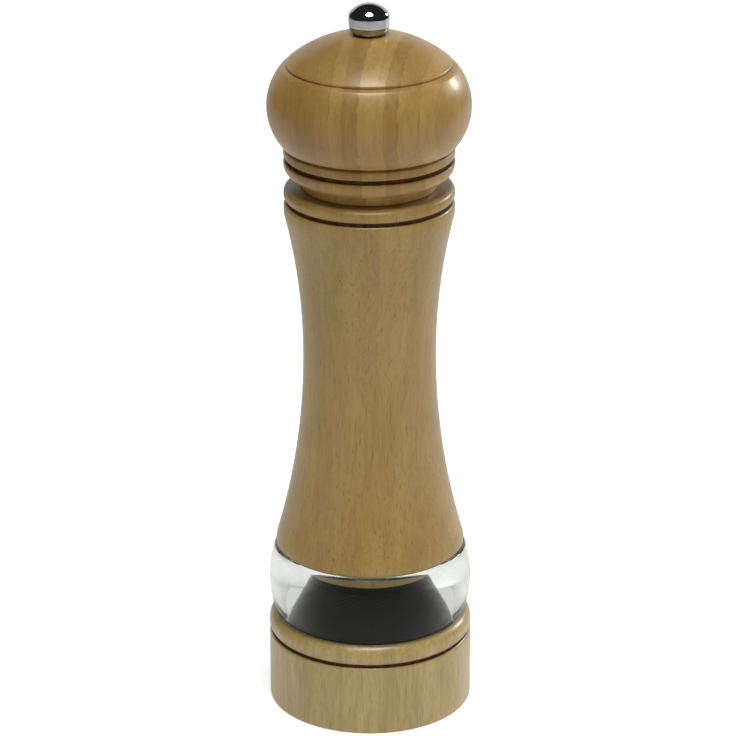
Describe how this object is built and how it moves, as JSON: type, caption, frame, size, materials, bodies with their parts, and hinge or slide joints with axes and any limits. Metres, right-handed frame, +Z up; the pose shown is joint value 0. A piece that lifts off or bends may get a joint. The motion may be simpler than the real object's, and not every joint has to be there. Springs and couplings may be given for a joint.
{
  "type": "pepper mill",
  "caption": "Turned wooden pepper mill with a waisted body, turning head, chrome adjusting knob, clear acrylic ring and a toothed cone grinder on a sprung spindle.",
  "frame": {"origin": "centre of the base's underside, where the mill stands on the table", "axes": "+Z up along the turning axis towards the knob; -Y is the side seen in the picture"},
  "size_m": [0.06, 0.06, 0.2139],
  "materials": {
    "lacquered_wood": "satin lacquer",
    "clear_acrylic": "clear gloss",
    "black_plastic": "moulded",
    "polished_chrome": "mirror",
    "bright_steel": "zinc-bright",
    "dark_steel": "hardened, dark"
  },
  "bodies": {
    "mill": {"base": "lacquered_wood", "window_ring": "clear_acrylic", "body": "lacquered_wood", "grinder_housing": "black_plastic", "spindle_guide": "black_plastic", "upper_spring_washer": "bright_steel", "spring": "bright_steel", "stator": "dark_steel", "stator_retainer": "bright_steel", "base_screws": "bright_steel"},
    "turning_head": {"head": "lacquered_wood", "drive_plate": "bright_steel", "drive_plate_screws": "bright_steel"},
    "knob": {"knob": "polished_chrome"},
    "spindle_set": {"spindle": "bright_steel", "spindle_clip": "bright_steel", "lower_spring_washer": "bright_steel", "rotor": "dark_steel", "rotor_washer": "bright_steel", "rotor_nut": "bright_steel"}
  },
  "joints": [
    {"name": "head_turn", "type": "hinge", "parent": "mill", "child": "turning_head", "pos_m": [0, 0, 0.1605], "axis": [0, 0, 1], "continuous": true},
    {"name": "knob_turn", "type": "hinge", "parent": "turning_head", "child": "knob", "pos_m": [0, 0, 0.2051], "axis": [0, 0, 1], "range_deg": [-180, 360]},
    {"name": "spindle_slide", "type": "slide", "parent": "turning_head", "child": "spindle_set", "axis": [0, 0, -1], "range_m": [-0.0005, 0.001], "deforming": ["spring"]}
  ],
  "couplings": [
    {"joint": "knob_turn", "follows": "spindle_slide", "rad_per_m": 6283.2}
  ]
}
